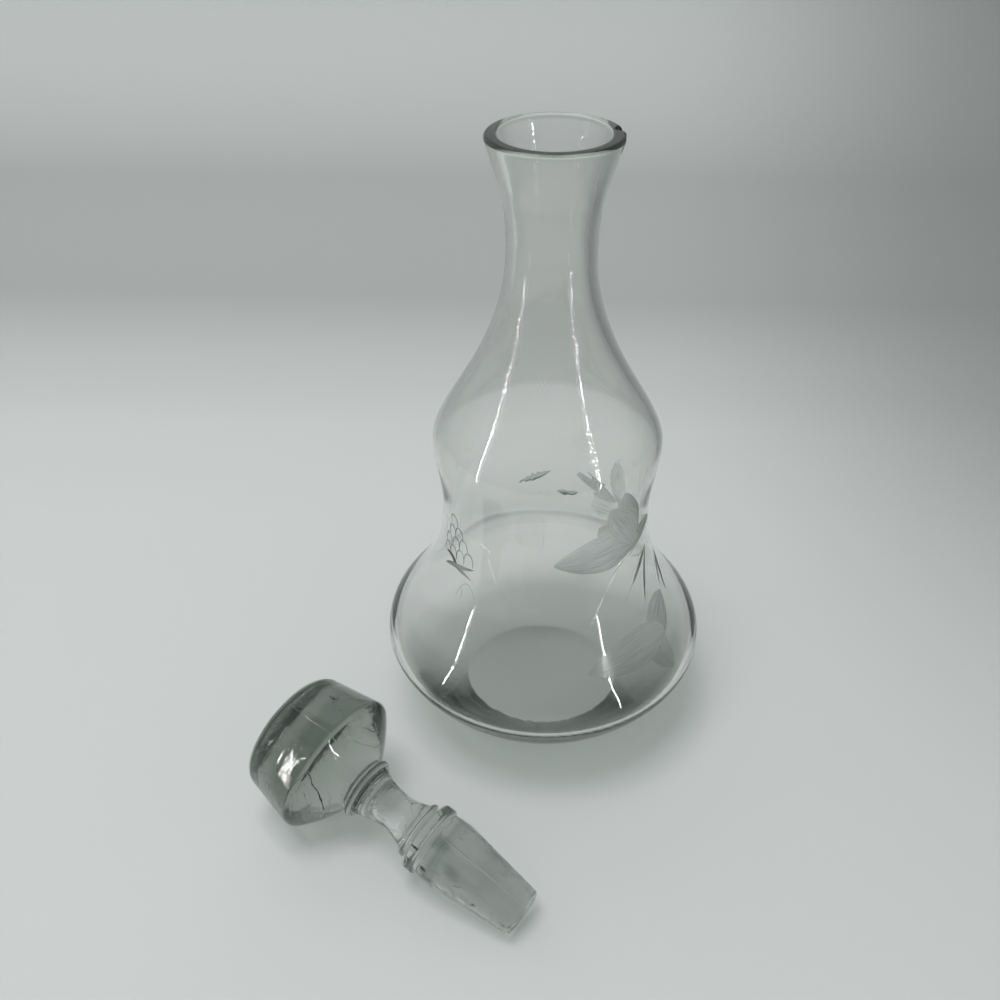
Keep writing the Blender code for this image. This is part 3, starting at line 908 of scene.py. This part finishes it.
crown_centre = HEAD_FOOT + HEAD_SIDE
stopper_section = [
    (0.0, -TIP_DEPTH, OUT, 0.0, 0.0),
    (TIP_RADIUS - TIP_ROUND, -TIP_DEPTH, OUT, 0.0, 0.66),
    (TIP_RADIUS, TIP_ROUND - TIP_DEPTH, UP, 0.66, 0.0),
    (PLUG_RADIUS, -PLUG_DEPTH, UP, 0.0, 3.6),
    (PLUG_TOP_RADIUS, 0.0, UP, 1.6, 0.0),
    (COLLAR_RADIUS - COLLAR_ROUND, 0.0, OUT, 0.0, 0.5),
    (COLLAR_RADIUS, COLLAR_ROUND, UP, 0.5, 0.0),
    (COLLAR_RADIUS, COLLAR_RISE - COLLAR_ROUND, UP, 0.0, 0.5),
    (COLLAR_RADIUS - COLLAR_ROUND, COLLAR_RISE, IN, 0.5, 0.0),
    (COLLAR_RADIUS - 2 * COLLAR_ROUND, COLLAR_RISE, IN, 0.0, 1.75),
    (COVE_RADIUS, COVE_RISE, UP, 0.9, 0.0),
    (COVE_RADIUS, COVE_RISE, OUT, 0.0, 0.58),
    (BEAD_RADIUS, COVE_RISE + BEAD_RISE / 2, UP, 0.44, 0.44),
    (COVE_RADIUS, COVE_RISE + BEAD_RISE, IN, 0.58, 0.0),
    (COVE_RADIUS, COVE_RISE + BEAD_RISE, STEM_FOOT_LEAN, 0.0, 2.87),
    (STEM_RADIUS, STEM_RISE, UP, 5.04, 5.04),
    (RING_ROOT, RING_FOOT, STEM_TOP_LEAN, 2.96, 0.0),
    (RING_ROOT, RING_FOOT, OUT, 0.0, 0.94),
    (RING_RADIUS, RING_FOOT + RING_RISE / 2, UP, 0.83, 0.83),
    (RING_ROOT, RING_FOOT + RING_RISE, IN, 0.94, 0.0),
    (GROOVE_RADIUS, GROOVE_RISE, GROOVE_LEAN, 0.0, 7.53),
    (*on_arc(HEAD_RADIUS - HEAD_ROUND, HEAD_FOOT, HEAD_ROUND, HEAD_FOOT_TURN), 4.52, 1.10),
    (*on_arc(HEAD_RADIUS - HEAD_ROUND, HEAD_FOOT, HEAD_ROUND, HEAD_LEAN), 1.10, 0.0),
    (*on_arc(CROWN_RADIUS - CROWN_ROUND, crown_centre, CROWN_ROUND, HEAD_LEAN), 0.0, 2.14),
    (*on_arc(CROWN_RADIUS - CROWN_ROUND, crown_centre, CROWN_ROUND, CROWN_TURN), 2.14, 10.7),
    (0.0, CROWN_TOP, IN, 5.25, 0.0),
]
stopper = draw_section("glass_stopper", stopper_section, STOPPER_POINTS)
turn_round(stopper, STOPPER_STEPS)
bpy.ops.object.shade_smooth_by_angle(angle=CREASE)

# It touches the table along the straight line that touches the roundings of its tip and its head.
tip_centre = (TIP_RADIUS - TIP_ROUND, TIP_ROUND - TIP_DEPTH)
head_centre = (HEAD_RADIUS - HEAD_ROUND, HEAD_FOOT)
apart = math.dist(tip_centre, head_centre)
tilt = math.atan2(head_centre[0] - tip_centre[0], head_centre[1] - tip_centre[1])
tilt += math.asin((HEAD_ROUND - TIP_ROUND) / apart)
stand_off = tip_centre[0] * math.cos(tilt) - tip_centre[1] * math.sin(tilt) + TIP_ROUND
heading = math.radians(STOPPER_HEADING)
tipward = Vector((math.cos(heading), math.sin(heading), 0.0))
outward = Vector((math.sin(heading), -math.cos(heading), 0.0))
upward = Vector((0.0, 0.0, 1.0))
axis = -tipward * math.cos(tilt) + upward * math.sin(tilt)
lowest = -upward * math.cos(tilt) - tipward * math.sin(tilt)
sideways = axis.cross(lowest)
lying_turn = Matrix((lowest, sideways, axis)).transposed().to_4x4()
lying_place = (
    outward * (BOWL_RADIUS + HEAD_RADIUS + STOPPER_GAP)
    + tipward * (CROWN_TOP * math.cos(tilt) - STOPPER_SETBACK)
    + upward * stand_off
) * MM
stopper.matrix_world = Matrix.Translation(lying_place) @ lying_turn
bpy.ops.object.transform_apply(location=True, rotation=True, scale=True)

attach(stopper, "stopper")
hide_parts("stopper")

# The glass of the stopper: the same soda glass, pressed in a mould. Its skin is wavy and lightly
# scratched, a mould seam runs along it, and the plug is ground to fit, so it is a little cloudy.
WAVE_AROUND, WAVE_ALONG, WAVE_HEIGHT = 6.0 * MM, 2.2 * MM, 0.09 * MM
GROUND_FROM, GROUND_FULL = -1.0 * MM, -3.0 * MM
PLUG_ROUGHNESS, PLUG_CLEAR_ROUGHNESS = 0.12, 0.036
CLOUD_SIZE, CLOUD_HEIGHT, CLOUD_THIN, CLOUD_DENSE = 8.0 * MM, 0.25 * MM, 0.35, 0.65
STAIN_STRETCH, STAIN_THIN, STAIN_FULL = 2.5, 0.42, 0.60
STAIN_DEPTH, CLEAR_DEPTH, CLEAR_SHARE = -12.0 * MM, -30.0 * MM, 0.15
# The plug's stain colour, and painted shade that darkens the thick head.
PLUG_TINT, HEAD_PAINTED_SHADE = "#a9b2ab", "#bcc3bd"
HEAD_TINT_FROM, HEAD_TINT_FULL = 36.0 * MM, 50.0 * MM
SCRATCH_LENGTH, SCRATCH_WIDTH, SCRATCH_DEPTH = 9.0 * MM, 0.45 * MM, 0.03 * MM
SCRATCH_TURN = (0.5, 0.0, 0.6)
SCRATCH_EDGE, SCRATCH_BOTTOM = 0.60, 0.68
SEAM_TURN = math.radians(-12.0)
SEAM_HALF_WIDTH, SEAM_HEIGHT = 0.35 * MM, 0.25 * MM
STOPPER_THROUGH, STOPPER_DENSITY = "#8a988b", 11.0
STOPPER_SHADES = ("#f2f5f3", "#626664")


def stopper_finish(tree, shader):
    """A wavy, scratched skin with a seam, a plug that is ground and stained near its collar, and a head
    darkened with painted shade.

    It is worked out as the stopper stands upright, with its own axis along Z and nought at the
    underside of its collar."""
    place = add_node(tree, "ShaderNodeTexCoord")
    upright = add_node(
        tree,
        "ShaderNodeMapping",
        {"vector_type": "TEXTURE", "Location": lying_place, "Rotation": lying_turn.to_euler()},
        {"Vector": place.outputs["Object"]},
    )
    split = add_node(tree, "ShaderNodeSeparateXYZ", links={"Vector": upright.outputs["Vector"]})
    plug = add_node(
        tree,
        "ShaderNodeMapRange",
        {"From Min": GROUND_FROM, "From Max": GROUND_FULL},
        {"Value": split.outputs["Z"]},
    )
    cloud = add_node(
        tree,
        "ShaderNodeTexNoise",
        {"Scale": 1 / CLOUD_SIZE, "Detail": 1.5},
        {"Vector": upright.outputs["Vector"]},
    )
    cloudy = add_node(
        tree,
        "ShaderNodeMapRange",
        {
            "From Min": CLOUD_THIN,
            "From Max": CLOUD_DENSE,
            "To Min": PLUG_CLEAR_ROUGHNESS,
            "To Max": PLUG_ROUGHNESS,
        },
        {"Value": cloud.outputs[0]},
    )
    roughness = add_node(
        tree,
        "ShaderNodeMath",
        {"operation": "MULTIPLY"},
        {0: cloudy.outputs["Result"], 1: plug.outputs["Result"]},
    )
    tree.links.new(roughness.outputs["Value"], shader.inputs["Roughness"])

    lengthways = add_node(
        tree,
        "ShaderNodeMapping",
        {"Scale": (1 / CLOUD_SIZE, 1 / CLOUD_SIZE, 1 / (STAIN_STRETCH * CLOUD_SIZE))},
        {"Vector": upright.outputs["Vector"]},
    )
    mottle = add_node(
        tree,
        "ShaderNodeTexNoise",
        {"Scale": 1.0, "Detail": 0.5},
        {"Vector": lengthways.outputs["Vector"]},
    )
    patchy = add_node(
        tree,
        "ShaderNodeMapRange",
        {"From Min": STAIN_THIN, "From Max": STAIN_FULL, "interpolation_type": "SMOOTHSTEP"},
        {"Value": mottle.outputs[0]},
    )
    on_plug = add_node(
        tree,
        "ShaderNodeMath",
        {"operation": "MULTIPLY"},
        {0: patchy.outputs["Result"], 1: plug.outputs["Result"]},
    )
    to_collar = add_node(
        tree,
        "ShaderNodeMapRange",
        {"From Min": CLEAR_DEPTH, "From Max": STAIN_DEPTH, "To Min": CLEAR_SHARE},
        {"Value": split.outputs["Z"]},
    )
    stained = add_node(
        tree,
        "ShaderNodeMath",
        {"operation": "MULTIPLY"},
        {0: on_plug.outputs["Value"], 1: to_collar.outputs["Result"]},
    )
    mottled = add_node(
        tree,
        "ShaderNodeMix",
        {"data_type": "RGBA", MIX_A: hex_colour("#ffffff"), MIX_B: hex_colour(PLUG_TINT)},
        {"Factor": stained.outputs["Value"]},
    )
    # Painted shade that darkens the head.
    in_head = add_node(
        tree,
        "ShaderNodeMapRange",
        {"From Min": HEAD_TINT_FROM, "From Max": HEAD_TINT_FULL},
        {"Value": split.outputs["Z"]},
    )
    tint = add_node(
        tree,
        "ShaderNodeMix",
        {"data_type": "RGBA", MIX_B: hex_colour(HEAD_PAINTED_SHADE)},
        {"Factor": in_head.outputs["Result"], MIX_A: mottled.outputs[MIXED]},
    )
    tree.links.new(tint.outputs[MIXED], shader.inputs["Base Color"])

    stretch = add_node(
        tree,
        "ShaderNodeMapping",
        {"Scale": (1 / WAVE_AROUND, 1 / WAVE_AROUND, 1 / WAVE_ALONG)},
        {"Vector": upright.outputs["Vector"]},
    )
    waves = add_node(
        tree, "ShaderNodeTexNoise", {"Scale": 1.0, "Detail": 1.0}, {"Vector": stretch.outputs["Vector"]}
    )
    wavy = add_node(tree, "ShaderNodeBump", {"Distance": WAVE_HEIGHT}, {"Height": waves.outputs[0]})
    clouded = add_node(
        tree,
        "ShaderNodeBump",
        {"Distance": CLOUD_HEIGHT},
        {"Height": cloud.outputs[0], "Strength": plug.outputs["Result"], "Normal": wavy.outputs["Normal"]},
    )
    comb = add_node(
        tree,
        "ShaderNodeMapping",
        {"Scale": (1 / SCRATCH_LENGTH, 1 / SCRATCH_WIDTH, 1 / SCRATCH_LENGTH), "Rotation": SCRATCH_TURN},
        {"Vector": upright.outputs["Vector"]},
    )
    scratch = add_node(
        tree, "ShaderNodeTexNoise", {"Scale": 1.0, "Detail": 2.0}, {"Vector": comb.outputs["Vector"]}
    )
    few = add_node(
        tree,
        "ShaderNodeMapRange",
        {"From Min": SCRATCH_EDGE, "From Max": SCRATCH_BOTTOM},
        {"Value": scratch.outputs[0]},
    )
    scratched = add_node(
        tree,
        "ShaderNodeBump",
        {"Distance": SCRATCH_DEPTH, "invert": True},
        {"Height": few.outputs["Result"], "Normal": clouded.outputs["Normal"]},
    )
    side = add_node(
        tree,
        "ShaderNodeVectorMath",
        {"operation": "DOT_PRODUCT", 1: (math.sin(SEAM_TURN), -math.cos(SEAM_TURN), 0.0)},
        {0: upright.outputs["Vector"]},
    )
    off_seam = add_node(tree, "ShaderNodeMath", {"operation": "ABSOLUTE"}, {0: side.outputs["Value"]})
    ridge = add_node(
        tree,
        "ShaderNodeMapRange",
        {"From Min": SEAM_HALF_WIDTH, "From Max": 0.0, "interpolation_type": "SMOOTHSTEP"},
        {"Value": off_seam.outputs["Value"]},
    )
    seamed = add_node(
        tree,
        "ShaderNodeBump",
        {"Distance": SEAM_HEIGHT},
        {"Height": ridge.outputs["Result"], "Normal": scratched.outputs["Normal"]},
    )
    tree.links.new(seamed.outputs["Normal"], shader.inputs["Normal"])


pressed_glass = glass(
    "pressed_soda_glass", STOPPER_THROUGH, STOPPER_DENSITY, stopper_finish, STOPPER_SHADES
)
stopper.data.materials.append(pressed_glass)
